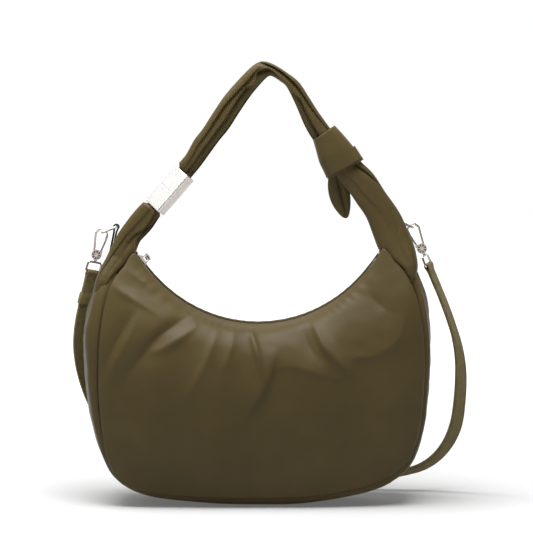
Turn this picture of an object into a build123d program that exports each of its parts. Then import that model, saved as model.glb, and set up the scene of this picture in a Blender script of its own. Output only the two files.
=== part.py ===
"""Nylon hobo bag with a knotted handle, a zipped mouth and a clip-on crossbody strap.

Millimetres, +Z up. The bag stands on Z = 0 and its front faces -Y.
"""

from build123d import *
from math import cos, pi, radians, sin, sqrt, tan
import os

# ---- driving dimensions ------------------------------------------------------------------
BODY_HALF_WIDTH = 172.0     # widest half width of the body
WAIST_Z = 110.0             # height that the panels' bulge shrinks towards
BASE_DIP = 1.0              # how far the round bottom is pressed flat by the floor
FABRIC = 2.0                # nylon, wadding and seam allowance of the shell
LINING_GAP = 0.2
LINING = 1.0

MOUTH = Vector(1, 0, 315)   # centre of the round mouth
MOUTH_R = 137.5             # radius of the mouth's edge
MOUTH_START = 209.6         # angle of the mouth's left end, degrees
MOUTH_END = 332.6           # angle of its right end
MOUTH_HALF_GAP = 14.0       # half the distance between the two panels at the zip

TOOTH_PITCH = 2.4
TOOTH_INNER_Y = 0.8         # a tooth's tip
TOOTH_OUTER_Y = 4.2         # a tooth's root, on the tape's edge
TAPE = 1.0                  # thickness of the zip tape
TAPE_R = MOUTH_R + 0.5      # radius of the tape's upper face
SLIDER_ANGLE = 212.2        # where the closed slider rests
SLIDER_HALF_LENGTH = 2.4    # degrees along the mouth
SLIDER_HALF_WIDTH = 6.2

FOLD_Z = 252.0              # height of the line that the handle folds about
FOLD_R = 10.0               # radius of the handle's rolled lower ends
FOLD_GAP = 0.6
LEFT_FOOT = (-154.0, -125.0)    # X range of the handle's left end
RIGHT_FOOT = (127.0, 156.0)     # X range of its right end
HANDLE_DEPTH = 16.0         # thickness of the gathered handle, front to back

SLIDE_START = Vector(-102, 0, 295)      # lower end of the metal slide
SLIDE_ANGLE = 49.0          # its tilt from the horizontal
SLIDE_LENGTH = 46.0
SLIDE_WIDTH = 20.0
SLIDE_DEPTH = 13.0
SLIDE_WALL = 1.2
SLIDE_ROLL = -32.0          # how far it is turned about its own length
SLIDE_TRAVEL = 6.0

WIRE_R = 1.1                # wire of the hooks and strap rings
D_RING_R = 1.2              # wire of the D-rings
D_RING_HALF_WIDTH = 6.5
HARDWARE_Y = 22.0           # the hooks hang behind the body's corners
WEBBING_WIDTH = 14.0
WEBBING = 3.2               # two layers of webbing

LEFT_EYE = Vector(-156.5, HARDWARE_Y, 269.3)    # the D-ring's far bar, inside the hook
LEFT_TAB = Vector(-142.0, HARDWARE_Y, 275.0)    # the D-ring's near bar, inside the tab
LEFT_HOOK_TILT = 13.6       # degrees that a hook leans outwards
LEFT_FOLD_END = -78.0       # lower end of the stitched strap end, along the hook's axis
RIGHT_EYE = Vector(157.0, HARDWARE_Y, 274.5)
RIGHT_TAB = Vector(143.0, HARDWARE_Y, 281.0)
RIGHT_HOOK_TILT = -23.0
RIGHT_FOLD_END = -66.0

os.makedirs("parts", exist_ok=True)


def save(part, name):
    """Label a finished piece and write its STEP file."""
    part.label = name
    export_step(part, f"parts/{name}.step")


def turned_plane(plane, direction, angle):
    """A plane turned about a direction through its own origin, in degrees."""
    axis = Axis((0, 0, 0), direction)
    x_dir = plane.x_dir.rotate(axis, angle)
    return Plane(origin=plane.origin, x_dir=x_dir, z_dir=plane.z_dir.rotate(axis, angle))


# ---- body --------------------------------------------------------------------------------
# Each row is a section through the body: its Y, how far the mouth's middle and its two ends
# lie below the zip, and how far the sides and the bottom come in from the full outline.
SECTIONS = [
    (0, 0, 0, 0, 0),
    (16, 0, 8, 1.5, 0),
    (27, 10, 20, 5, 1.5),
    (38, 24, 44, 13, 6),
    (47, 44, 85, 32, 18),
    (52, 75, 127, 75, 48),
]
RIGHT_TIP = (158, FOLD_Z)
LEFT_TIP = (-151, FOLD_Z - 4)
SIDE_POINTS = [
    (169.5, 206), (172.45, 158), (167, 92), (150, 38), (109, 12.5), (0, -BASE_DIP),
    (-92, 5), (-141, 29), (-163, 79), (-172.5, 162), (-166, 214),
]


def mouth_point(angle, radius=MOUTH_R):
    """X and Z of a point at this angle round the mouth."""
    return MOUTH.X + radius * cos(radians(angle)), MOUTH.Z + radius * sin(radians(angle))


def section_point(point, section, wall):
    """A point of the full outline, moved to where it lies in a section of the body."""
    _, _, end_drop, side_in, bottom_in = section
    x = point[0] * (1 - (side_in + wall) / BODY_HALF_WIDTH)
    above = (point[1] - WAIST_Z) / (FOLD_Z - WAIST_Z)
    below = (WAIST_Z - point[1]) / WAIST_Z
    z = point[1] - (end_drop + wall) * above if above > 0 else point[1] + (bottom_in + wall) * below
    return x, z


def body_volume(wall):
    """The body as one solid, drawn in by a wall thickness."""
    rows = [(-row[0], *row[1:]) for row in reversed(SECTIONS[1:])] + SECTIONS
    with BuildPart() as volume:
        for row in rows:
            left = section_point(mouth_point(MOUTH_START), row, wall)
            right = section_point(mouth_point(MOUTH_END), row, wall)
            middle = (MOUTH.X, MOUTH.Z - MOUTH_R - row[1] - wall)
            depth = row[0] * (1 - wall / SECTIONS[-1][0])
            with BuildSketch(Plane.XZ.offset(-depth)):
                with BuildLine():
                    ThreePointArc(left, middle, right)
                    side = [section_point(point, row, wall) for point in SIDE_POINTS]
                    right_tip = section_point(RIGHT_TIP, row, wall)
                    left_tip = section_point(LEFT_TIP, row, wall)
                    Line(right, right_tip)
                    Spline(right_tip, *side, left_tip)
                    Line(left_tip, left)
                make_face()
        loft(ruled=True)
        split(bisect_by=Plane.XY, keep=Keep.TOP)
    return volume.part


def mouth_plane(depth=0.0):
    """The plane of the mouth's circle at this Y, with the mouth's centre as its origin."""
    return Plane(origin=(MOUTH.X, depth, MOUTH.Z), x_dir=(1, 0, 0), z_dir=(0, -1, 0))


def band(inner, outer, start, end, near, far):
    """A curved bar that follows the mouth between two radii, two angles and two Ys."""
    with BuildPart() as bar:
        with BuildSketch(mouth_plane(near)):
            with BuildLine():
                low = CenterArc((0, 0), inner, start, end - start)
                high = CenterArc((0, 0), outer, start, end - start)
                Line(low @ 0, high @ 0)
                Line(low @ 1, high @ 1)
            make_face()
        extrude(amount=near - far)
    return bar.part


def rolled_ends(radius):
    """The two rolls that the handle's ends turn in."""
    with BuildPart() as rolls:
        for start, end in (LEFT_FOOT, RIGHT_FOOT):
            with BuildSketch(Plane.YZ.offset(start)):
                with Locations((0, FOLD_Z)):
                    Circle(radius)
            extrude(amount=end - start)
    return rolls.part


outer_body = body_volume(0)
inner_body = body_volume(FABRIC)
mouth_cut = band(MOUTH_R - 20, MOUTH_R + 6, 180, 360, -MOUTH_HALF_GAP, MOUTH_HALF_GAP)
fold_cut = rolled_ends(FOLD_R + FOLD_GAP)

# The seams between the panels and the gusset, as seen from the front.
with BuildPart() as panel_prism:
    with BuildSketch(Plane.XZ):
        with BuildLine():
            Spline(
                (133, 262), (156, 220), (167, 160), (164, 90), (150, 40), (112, 19),
                (0, 8), (-104, 12), (-144, 36), (-158, 90), (-157, 172), (-127, 262),
            )
            Line((-127, 262), (133, 262))
        make_face()
    extrude(amount=80, both=True)

with BuildPart() as shell:
    add(outer_body)
    add(inner_body, mode=Mode.SUBTRACT)
    add(mouth_cut, mode=Mode.SUBTRACT)
    add(fold_cut, mode=Mode.SUBTRACT)

for side, name in ((Keep.TOP, "front_panel"), (Keep.BOTTOM, "back_panel")):
    with BuildPart() as panel:
        add(shell.part)
        add(panel_prism.part, mode=Mode.INTERSECT)
        split(bisect_by=Plane.XZ, keep=side)
    save(panel.part, name)

with BuildPart() as gusset:
    add(shell.part)
    add(panel_prism.part, mode=Mode.SUBTRACT)

GUSSET_JOIN_X = 95.0        # the side gussets meet the bottom gusset here
for low, high, name in (
    (-200, -GUSSET_JOIN_X, "left_gusset"),
    (-GUSSET_JOIN_X, GUSSET_JOIN_X, "bottom_gusset"),
    (GUSSET_JOIN_X, 200, "right_gusset"),
):
    with BuildPart() as strip:
        add(gusset.part)
        with Locations(((low + high) / 2, 0, 130)):
            Box(high - low, 140, 300, mode=Mode.INTERSECT)
    save(strip.part, name)

# ---- lining ------------------------------------------------------------------------------
lining_outer = body_volume(FABRIC + LINING_GAP)
lining_inner = body_volume(FABRIC + LINING_GAP + LINING)

for side, name in ((Keep.TOP, "front_lining"), (Keep.BOTTOM, "back_lining")):
    with BuildPart() as lining:
        add(lining_outer)
        add(lining_inner, mode=Mode.SUBTRACT)
        add(mouth_cut, mode=Mode.SUBTRACT)
        add(rolled_ends(FOLD_R + FOLD_GAP + 1), mode=Mode.SUBTRACT)
        split(bisect_by=Plane.XZ, keep=side)
    save(lining.part, name)

POCKET = (120.0, 72.0, 88.0)    # width, height and middle height of the slip pocket
with BuildPart() as slip_pocket:
    add(lining_inner)
    add(body_volume(FABRIC + LINING_GAP + 2 * LINING), mode=Mode.SUBTRACT)
    with Locations((0, 50, POCKET[2])):
        Box(POCKET[0], 60, POCKET[1], mode=Mode.INTERSECT)
save(slip_pocket.part, "slip_pocket")

# ---- zip ---------------------------------------------------------------------------------
TEETH_START = SLIDER_ANGLE - SLIDER_HALF_LENGTH + 0.6
TEETH_END = MOUTH_END - 2.2
PITCH_ANGLE = TOOTH_PITCH / MOUTH_R * 180 / pi
tooth_count = int((TEETH_END - TEETH_START) / PITCH_ANGLE)

for sign, name in ((-1, "front_zip_tape"), (1, "back_zip_tape")):
    near, far = sorted((sign * TOOTH_OUTER_Y, sign * MOUTH_HALF_GAP))
    tape = band(TAPE_R, TAPE_R + TAPE, MOUTH_START + 0.3, MOUTH_END - 0.3, near, far)
    with BuildPart() as zip_tape:
        add(tape)
        add(fold_cut, mode=Mode.SUBTRACT)
    save(zip_tape.part, name)

for sign, shift, name in ((-1, 0.0, "front_zip_teeth"), (1, 0.5, "back_zip_teeth")):
    near, far = sorted((sign * TOOTH_INNER_Y, sign * TOOTH_OUTER_Y))
    with BuildPart() as teeth:
        with BuildSketch(mouth_plane(near)):
            with PolarLocations(
                TAPE_R + TAPE / 2,
                tooth_count,
                TEETH_START + shift * PITCH_ANGLE,
                tooth_count * PITCH_ANGLE,
            ):
                Rectangle(3.0, TOOTH_PITCH / 2)
        extrude(amount=near - far)
    save(teeth.part, name)

with BuildPart() as zip_stops:
    for angle in (TEETH_START - 1.3, TEETH_END + 1.4):
        add(band(MOUTH_R - 0.8, TAPE_R, angle - 0.5, angle + 0.5, -7, 7))
save(zip_stops.part, "zip_stops")


def slider_band(inner, outer, half_angle, half_width):
    """A curved bar centred on the slider."""
    start, end = SLIDER_ANGLE - half_angle, SLIDER_ANGLE + half_angle
    return band(inner, outer, start, end, -half_width, half_width)


CROWN_R = MOUTH_R - 6.7     # radius, round the mouth, of the bar that carries the pull
with BuildPart() as zip_slider:
    add(slider_band(MOUTH_R - 3.1, MOUTH_R + 4.7, SLIDER_HALF_LENGTH, SLIDER_HALF_WIDTH))
    add(slider_band(MOUTH_R - 1.2, MOUTH_R + 3.2, 4, 4.8), mode=Mode.SUBTRACT)
    add(slider_band(TAPE_R - 0.4, TAPE_R + TAPE + 0.4, 4, 8), mode=Mode.SUBTRACT)
    add(slider_band(MOUTH_R - 2, MOUTH_R + 4, 0.8, 0.45))
    add(slider_band(CROWN_R - 0.7, MOUTH_R - 3, 1.6, 0.7))
    add(slider_band(CROWN_R + 0.7, MOUTH_R - 3.1, 1.1, 2), mode=Mode.SUBTRACT)
save(zip_slider.part, "zip_slider")

crown_x, crown_z = mouth_point(SLIDER_ANGLE, CROWN_R)
PULL_PLANE = Plane(
    origin=(crown_x, 0, crown_z),
    x_dir=(0, 1, 0),
    z_dir=(-sin(radians(SLIDER_ANGLE)), 0, cos(radians(SLIDER_ANGLE))),
)
PULL_EYE = 4.0              # width of the pull's eye along the crown
with BuildPart() as zip_pull:
    with BuildSketch(PULL_PLANE.offset(-PULL_EYE / 2)):
        Circle(2.1)
        with Locations((5, 0)):
            Rectangle(7, 1.6)
    extrude(amount=PULL_EYE)
    with BuildSketch(PULL_PLANE.offset(-PULL_EYE / 2)):
        Circle(1.1)
    extrude(amount=PULL_EYE, mode=Mode.SUBTRACT)
    with BuildSketch(Plane(PULL_PLANE.origin, PULL_PLANE.x_dir, PULL_PLANE.y_dir).offset(-0.8)):
        with Locations((17, 0)):
            SlotOverall(22, 8)
        with Locations((22, 0)):
            Circle(2, mode=Mode.SUBTRACT)
    extrude(amount=1.6)
save(zip_pull.part, "zip_pull")

# ---- handle ------------------------------------------------------------------------------
slide_direction = Vector(cos(radians(SLIDE_ANGLE)), 0, sin(radians(SLIDE_ANGLE)))
slide_across = Vector(sin(radians(SLIDE_ANGLE)), 0, -cos(radians(SLIDE_ANGLE)))
slide_plane = turned_plane(
    Plane(origin=SLIDE_START, x_dir=slide_across, z_dir=slide_direction),
    slide_direction, SLIDE_ROLL,
)
CORE_FREE = SLIDE_TRAVEL + 1
CORE_ROOT = 4.0             # how far the core runs into the cloth at each end
core_length = SLIDE_LENGTH + 2 * (CORE_FREE + CORE_ROOT)
CORE_WIDTH = SLIDE_WIDTH - 2 * SLIDE_WALL - 0.7
CORE_DEPTH = SLIDE_DEPTH - 2 * SLIDE_WALL - 0.7

with BuildPart() as handle_slide:
    with BuildSketch(slide_plane):
        RectangleRounded(SLIDE_WIDTH, SLIDE_DEPTH, 1.5)
        RectangleRounded(SLIDE_WIDTH - 2 * SLIDE_WALL, SLIDE_DEPTH - 2 * SLIDE_WALL, 0.6,
                         mode=Mode.SUBTRACT)
    extrude(amount=SLIDE_LENGTH)
save(handle_slide.part, "handle_slide")

with BuildPart() as handle_strap:
    # lower leg, from the fold line to the slide
    with BuildSketch(Plane.XZ):
        with BuildLine():
            Polyline((LEFT_FOOT[0], FOLD_Z), (-147, 260), (-137, 273), (-121, 292), (-117.5, 295))
            Line((-117.5, 295), (-99, 279))
            Polyline((-99, 279), (-106, 270), (-115, 262), (LEFT_FOOT[1], FOLD_Z))
            Line((LEFT_FOOT[1], FOLD_Z), (LEFT_FOOT[0], FOLD_Z))
        make_face()
    extrude(amount=HANDLE_DEPTH / 2, both=True)
    with BuildSketch(Plane.YZ.offset(LEFT_FOOT[0])):
        with Locations((0, FOLD_Z)):
            Circle(FOLD_R)
    extrude(amount=LEFT_FOOT[1] - LEFT_FOOT[0])
    # the narrow stretch that the slide runs on
    with BuildSketch(slide_plane.offset(-CORE_FREE - CORE_ROOT)):
        RectangleRounded(CORE_WIDTH, CORE_DEPTH, 2)
    extrude(amount=core_length)
    # over the top and down to the knot
    with BuildSketch(Plane.XZ):
        with BuildLine():
            Spline((-75, 342), (-54, 375), (-32, 402), (-18, 423), (0, 438), (14, 440),
                   (30, 428), (47, 408), (62, 390), (76, 372))
            Line((76, 372), (58, 360))
            Spline((58, 360), (47, 382), (34, 400), (20, 414), (6, 421), (-3, 415),
                   (-17, 394), (-33, 372), (-57, 329))
            Line((-57, 329), (-75, 342))
        make_face()
    extrude(amount=HANDLE_DEPTH / 2, both=True)
    with BuildSketch(Plane.XZ):
        with BuildLine():
            Polyline((76, 372), (84, 359), (68, 348), (58, 360), (76, 372))
        make_face()
    extrude(amount=HANDLE_DEPTH / 2 - 1, both=True)
save(handle_strap.part, "handle_strap")

with BuildPart() as handle_right_leg:
    with BuildSketch(Plane.XZ):
        with BuildLine():
            Spline((98, 346), (118, 327), (133, 303), (145, 285), (RIGHT_FOOT[1], FOLD_Z))
            Line((RIGHT_FOOT[1], FOLD_Z), (RIGHT_FOOT[0], FOLD_Z))
            Spline((RIGHT_FOOT[0], FOLD_Z), (115, 271), (107, 291), (93, 306), (74, 334))
            Line((74, 334), (98, 346))
        make_face()
    extrude(amount=HANDLE_DEPTH / 2, both=True)
    with BuildSketch(Plane.YZ.offset(RIGHT_FOOT[0])):
        with Locations((0, FOLD_Z)):
            Circle(FOLD_R)
    extrude(amount=RIGHT_FOOT[1] - RIGHT_FOOT[0])
save(handle_right_leg.part, "handle_right_leg")

WRAP_OUTLINE = [(57, 363), (77, 376), (96, 357), (105, 344), (70, 325)]
with BuildPart() as knot_wrap:
    with BuildSketch(Plane.XZ.offset(12)):
        Polygon(*WRAP_OUTLINE, align=None)
    extrude(amount=-31)
    fillet(knot_wrap.edges().filter_by(Axis.Y), 2.5)
    # the room inside for the strap, the leg and the tail
    with BuildSketch(Plane.XZ.offset(8.2)):
        Polygon((58, 374), (80, 376), (102, 343), (78, 322), (62, 345), align=None)
        Polygon((52, 366), (77, 383), (86, 366), (62, 352), align=None)
        Polygon((68, 340), (98, 355), (112, 336), (74, 316), align=None)
    extrude(amount=-24.4, mode=Mode.SUBTRACT)
save(knot_wrap.part, "knot_wrap")

# The tail hangs from a roll just below the wrap's lower edge, behind the right leg.
TAIL_TOP = Vector(74.5, 12.5, 320.5)
TAIL_LENGTH = 36.0
tail_hinge = Vector(35, 0, 19).normalized()     # along the wrap's lower edge
tail_plane = Plane(origin=TAIL_TOP, x_dir=tail_hinge, z_dir=(0, -1, 0))
with BuildPart() as knot_tail:
    with BuildSketch(tail_plane.offset(-3.5)):
        with BuildLine():
            Spline((-6, 0), (-8.5, -12), (-6.5, -28), (1, -TAIL_LENGTH))
            Spline((1, -TAIL_LENGTH), (7.5, -28), (7.5, -12), (5, 0))
            Line((5, 0), (-6, 0))
        make_face()
    extrude(amount=7)
    with BuildSketch(Plane(origin=TAIL_TOP, x_dir=(0, 1, 0), z_dir=tail_hinge).offset(-6)):
        Circle(3.5)
    extrude(amount=11)
save(knot_tail.part, "knot_tail")

# ---- clip-on hardware, once per side -----------------------------------------------------
# A hook is drawn in its own plane: X across its eye, Y up its length, the D-ring's bar at the
# origin. Distances below are in that plane.
EYE_HALF_WIDTH = 5.8
EYE_TOP = 3.6
EYE_SHOULDER = -1.6
NOSE = -6.0                 # the hook's arm ends here, below the D-ring's bar, so the gate clears it
NOSE_GAP = 0.15             # between the arm's end and the gate's tip
HUB_Z = -23.0
HUB_R = 4.0
HUB_DEPTH = 4.6
PIN = Vector(3.3, -19.5)    # the gate's pivot
PIN_R = 0.6
GATE_R = 1.0
CAP_R = 5.3
RING_TOP = -31.0
RING_BOTTOM = -41.5
RING_HALF_WIDTH = 8.6
STEM_R = 1.3


def hook_plane(eye, tilt):
    """The plane of a hook that hangs from this point, seen from the front."""
    return Plane(
        origin=eye, x_dir=(cos(radians(tilt)), 0, -sin(radians(tilt))), z_dir=(0, -1, 0)
    )


def wire(plane, radius, points, corner, closed=False):
    """A round wire along straight runs with rounded corners, in a plane."""
    with BuildPart() as rod:
        with BuildLine(plane) as path:
            FilletPolyline(*points, radius=corner, close=closed)
        start = path.line.edges()[0]
        with BuildSketch(Plane(origin=start @ 0, z_dir=start % 0)):
            Circle(radius)
        sweep(path=path.line)
    return rod.part


def webbing_fold(plane, bar_radius, thickness, half_width, end, bar_gap=0.35):
    """Webbing folded over a bar: a loop round the plane's origin and a stem down to an end."""
    inner = bar_radius + bar_gap
    with BuildPart() as fold:
        with BuildSketch(plane.offset(-half_width)):
            Circle(inner + thickness / 2)
            with Locations((0, end / 2)):
                Rectangle(thickness, -end)
            Circle(inner, mode=Mode.SUBTRACT)
        extrude(amount=2 * half_width)
    return fold.part


def side_of(plane, height):
    """The plane across a hook at this height along it, looking along the hook's width."""
    origin = plane.from_local_coords((0, height, 0))
    return Plane(origin=origin, x_dir=-plane.z_dir, z_dir=plane.x_dir)


def round_bar(plane, centre, radius, near, far, bore=0.0):
    """A round bar through a hook, between two depths in front of its plane."""
    with BuildPart() as bar:
        with BuildSketch(plane.offset(near)):
            with Locations(centre):
                Circle(radius)
                if bore:
                    Circle(bore, mode=Mode.SUBTRACT)
        extrude(amount=far - near)
    return bar.part


def make_side(prefix, eye, tab, tilt, hand, turn, fold_end):
    """Every metal and webbing piece of one strap end, from the ring tab to the strap.

    hand is 1 for a gate on the right of the eye and -1 for one on the left, and turn is how
    far the strap ring is turned about the hook's length.
    """
    plane = hook_plane(eye, tilt)
    turned = turned_plane(plane, plane.y_dir, turn)

    # D-ring: its near bar in the tab, its far bar in the hook's eye
    reach = eye - tab
    ring_plane = Plane(origin=tab, x_dir=reach, z_dir=reach.cross(Vector(0, 1, 0)))
    half = D_RING_HALF_WIDTH - D_RING_R
    length = reach.length
    points = [(0, 0), (0, half), (length, half), (length, -half), (0, -half), (0, -0.5)]
    save(wire(ring_plane, D_RING_R, points, 1.5), f"{prefix}_d_ring")

    # tab: webbing folded over the near bar and sewn to the gusset behind the handle
    upright = Plane(origin=tab, x_dir=(1, 0, 0), z_dir=(0, -1, 0))
    tab_plane = turned_plane(upright, Vector(0, 1, 0), 12 if tilt > 0 else -12)
    with BuildPart() as ring_tab:
        add(webbing_fold(tab_plane, D_RING_R, 2.4, 3.3, -40, 0.3))
        add(outer_body, mode=Mode.SUBTRACT)
    save(ring_tab.part.solids().sort_by(Axis.Z)[-1], f"{prefix}_ring_tab")

    # hook frame: hub, open eye and the socket that the ring's stem turns in
    side = EYE_HALF_WIDTH
    eye_points = [
        (-3.0 * hand, HUB_Z + 1), (-side * hand, EYE_SHOULDER),
        ((3.4 - side) * hand, EYE_TOP), (2.4 * hand, EYE_TOP),
        (side * hand, EYE_SHOULDER + 0.6), ((side - 0.1) * hand, NOSE),
    ]
    pin = Vector(PIN.X * hand, PIN.Y)
    with BuildPart() as frame:
        add(wire(plane, WIRE_R, eye_points, [2.5, 2.5, 2.0, 0.3]))
        add(round_bar(plane, (0, HUB_Z), HUB_R, -HUB_DEPTH / 2, HUB_DEPTH / 2))
        with BuildSketch(plane.offset(-HUB_DEPTH / 2)):
            with Locations(pin):
                Circle(1.9)
        extrude(amount=HUB_DEPTH)
        with BuildSketch(plane.offset(-GATE_R - 0.3)):
            with Locations(pin + Vector(1.4 * hand, 1.2)):
                Rectangle(8, 9)
        extrude(amount=2 * GATE_R + 0.6, mode=Mode.SUBTRACT)
        add(round_bar(plane, pin, PIN_R + 0.05, -3, 3), mode=Mode.SUBTRACT)
        socket = Plane(origin=plane.from_local_coords((0, HUB_Z - HUB_R + 0.5, 0)),
                       x_dir=plane.x_dir, z_dir=-plane.y_dir)
        with BuildSketch(socket):
            Circle(2.3)
        extrude(amount=2.2)
        with BuildSketch(socket.offset(-1.5)):
            Circle(STEM_R + 0.08)
        extrude(amount=6, mode=Mode.SUBTRACT)
        with BuildSketch(socket.offset(-3.2)):
            Circle(1.9)
        extrude(amount=2, mode=Mode.SUBTRACT)
    save(frame.part, f"{prefix}_hook_frame")

    # gate: a straight wire that turns on its pin and closes the eye
    nose = Vector((side - 0.1) * hand, NOSE - NOSE_GAP)
    with BuildPart() as gate:
        run = nose - pin
        foot = plane.from_local_coords((pin.X, pin.Y, 0))
        tip = plane.from_local_coords((nose.X, nose.Y, 0))
        with BuildSketch(Plane(origin=foot, z_dir=tip - foot)):
            Circle(GATE_R)
        extrude(amount=run.length)
        add(round_bar(plane, pin, 1.5, -GATE_R, GATE_R))
        add(round_bar(plane, pin, PIN_R + 0.05, -GATE_R, GATE_R), mode=Mode.SUBTRACT)
    save(gate.part, f"{prefix}_hook_gate")
    save(round_bar(plane, pin, PIN_R, -HUB_DEPTH / 2, HUB_DEPTH / 2), f"{prefix}_gate_pin")

    # cap: a fluted disc riveted on the front of the hub
    with BuildPart() as cap:
        with BuildSketch(plane.offset(HUB_DEPTH / 2)):
            with Locations((0, HUB_Z)):
                Circle(CAP_R)
        extrude(amount=1.8)
        with BuildSketch(plane.offset(HUB_DEPTH / 2 + 1.1)):
            with Locations((0, HUB_Z)):
                with PolarLocations(3.2, 8):
                    Rectangle(2.4, 0.9)
        extrude(amount=0.8, mode=Mode.SUBTRACT)
        with BuildSketch(plane.offset(HUB_DEPTH / 2 + 1.8)):
            with Locations((0, HUB_Z)):
                Circle(1.4)
        extrude(amount=0.5)
    save(cap.part, f"{prefix}_hook_cap")

    # strap ring and the stem that turns in the hub
    ring_points = [
        (0, RING_TOP), (RING_HALF_WIDTH - 1.2, RING_TOP), (RING_HALF_WIDTH, RING_BOTTOM),
        (-RING_HALF_WIDTH, RING_BOTTOM), (-RING_HALF_WIDTH + 1.2, RING_TOP), (-0.4, RING_TOP),
    ]
    stem_top = HUB_Z - HUB_R + 3.3
    stem = Plane(origin=plane.from_local_coords((0, stem_top, 0)),
                 x_dir=plane.x_dir, z_dir=-plane.y_dir)
    with BuildPart() as ring:
        add(wire(turned, WIRE_R, ring_points, [2.2, 1.8, 1.8, 2.2]))
        with BuildSketch(stem):
            Circle(STEM_R)
        extrude(amount=stem_top - RING_TOP)
        with BuildSketch(stem):
            Circle(1.7)
        extrude(amount=0.9)
    save(ring.part, f"{prefix}_strap_ring")

    # strap end: webbing folded round the ring's lower bar
    bar_side = side_of(turned, RING_BOTTOM)
    end = webbing_fold(bar_side, WIRE_R, WEBBING, WEBBING_WIDTH / 2, fold_end - RING_BOTTOM)
    save(end, f"{prefix}_strap_end")
    return turned


left_strap = make_side("left", LEFT_EYE, LEFT_TAB, LEFT_HOOK_TILT, 1, 35, LEFT_FOLD_END)
right_strap = make_side("right", RIGHT_EYE, RIGHT_TAB, RIGHT_HOOK_TILT, -1, 65, RIGHT_FOLD_END)

# ---- crossbody strap ---------------------------------------------------------------------
KEEPER_Z = -69.0            # along the left hook's axis
KEEPER_LENGTH = 12.0


def cross_plane(plane, height):
    """The plane across a strap end at this height, looking down along it."""
    origin = plane.from_local_coords((0, height, 0))
    return Plane(origin=origin, x_dir=plane.x_dir, z_dir=-plane.y_dir)


with BuildPart() as strap_keeper:
    with BuildSketch(cross_plane(left_strap, KEEPER_Z + KEEPER_LENGTH / 2)):
        RectangleRounded(WEBBING_WIDTH + 3, WEBBING + 3, 1.4)
        Rectangle(WEBBING_WIDTH + 0.4, WEBBING + 0.4, mode=Mode.SUBTRACT)
    extrude(amount=KEEPER_LENGTH)
save(strap_keeper.part, "strap_keeper")

# The strap hangs from both hooks, out past the sides of the bag and low behind it.
strap_start = left_strap.from_local_coords((0, LEFT_FOLD_END, 0))
strap_finish = right_strap.from_local_coords((0, RIGHT_FOLD_END, 0))
STRAP_ROUTE = [
    strap_start,
    strap_start - left_strap.y_dir * 26,
    Vector(-179, 36, 128),
    Vector(-166, 52, 87),
    Vector(-140, 62, 47),
    Vector(-95, 67, 21),
    Vector(-38, 69, 11),
    Vector(22, 69, 10.5),
    Vector(80, 67, 14),
    Vector(130, 62, 25),
    Vector(172, 54, 40),
    Vector(199, 44, 70),
    Vector(208, 34, 108),
    Vector(206, 26, 148),
    strap_finish - right_strap.y_dir * 28,
    strap_finish,
]
# A round tube with the same section area as the two layers of webbing.
STRAP_R = sqrt(WEBBING_WIDTH * WEBBING / pi)


def corner_radii(route):
    """The largest tangent arc that each corner of a route has room for."""
    radii = []
    for before, here, after in zip(route, route[1:], route[2:]):
        run_in, run_out = here - before, after - here
        half_turn = radians(run_in.get_angle(run_out)) / 2
        radii.append(0.45 * min(run_in.length, run_out.length) / tan(half_turn))
    return radii


strap_radii = corner_radii(STRAP_ROUTE)
print("strap arc radii:", [round(radius) for radius in strap_radii])
with BuildPart() as strap_webbing:
    with BuildLine() as strap_line:
        FilletPolyline(*STRAP_ROUTE, radius=strap_radii)
    with BuildSketch(Plane(origin=strap_start, z_dir=-left_strap.y_dir)):
        Circle(STRAP_R)
    sweep(path=strap_line.line)
strap_length = sum(edge.length for edge in strap_line.line.edges())
print("strap length", round(strap_length, 1), "volume over section times length",
      round(strap_webbing.part.volume / (pi * STRAP_R**2 * strap_length), 4))
save(strap_webbing.part, "strap_webbing")

# The slide that sets the strap's length, on the low stretch behind the bag.
adjuster_run = STRAP_ROUTE[7] - STRAP_ROUTE[6]
ADJUSTER = (20.0, 12.0, 4.0)    # height, thickness and length along the strap
with BuildPart() as strap_adjuster:
    middle = (STRAP_ROUTE[6] + STRAP_ROUTE[7]) / 2 - adjuster_run.normalized() * ADJUSTER[2] / 2
    with BuildSketch(Plane(origin=middle, x_dir=(0, 0, 1), z_dir=adjuster_run)):
        RectangleRounded(ADJUSTER[0], ADJUSTER[1], 2)
        Rectangle(ADJUSTER[0] - 4, ADJUSTER[1] - 3.4, mode=Mode.SUBTRACT)
    extrude(amount=ADJUSTER[2])
save(strap_adjuster.part, "strap_adjuster")
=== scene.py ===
"""Looks of the nylon hobo bag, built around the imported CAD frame.

Lengths in the shape code are millimetres in the CAD's frame and become metres in make_mesh().
"""
from math import cos, degrees, pi, radians, sin, sqrt

import bpy
import numpy as np
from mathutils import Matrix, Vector


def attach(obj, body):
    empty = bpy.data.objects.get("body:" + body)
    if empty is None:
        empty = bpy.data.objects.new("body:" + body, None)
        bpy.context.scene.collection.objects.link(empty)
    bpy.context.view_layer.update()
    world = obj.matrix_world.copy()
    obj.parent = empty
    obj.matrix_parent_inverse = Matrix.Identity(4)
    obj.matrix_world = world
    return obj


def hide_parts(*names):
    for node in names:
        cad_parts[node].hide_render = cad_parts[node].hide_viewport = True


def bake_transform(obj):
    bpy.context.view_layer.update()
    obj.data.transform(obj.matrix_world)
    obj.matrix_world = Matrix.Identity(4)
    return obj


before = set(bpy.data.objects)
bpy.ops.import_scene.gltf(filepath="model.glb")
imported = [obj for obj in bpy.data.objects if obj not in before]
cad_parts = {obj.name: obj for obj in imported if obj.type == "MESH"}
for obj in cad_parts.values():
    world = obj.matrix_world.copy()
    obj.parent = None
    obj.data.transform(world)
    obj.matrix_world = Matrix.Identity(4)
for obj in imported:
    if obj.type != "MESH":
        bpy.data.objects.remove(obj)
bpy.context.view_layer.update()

MM = 0.001
CURVE_STEPS = 24            # samples between two given points of a curve
NOISE_OCTAVES, NOISE_WAVES = 3, 5

# ---- shape helpers -----------------------------------------------------------------------


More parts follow.
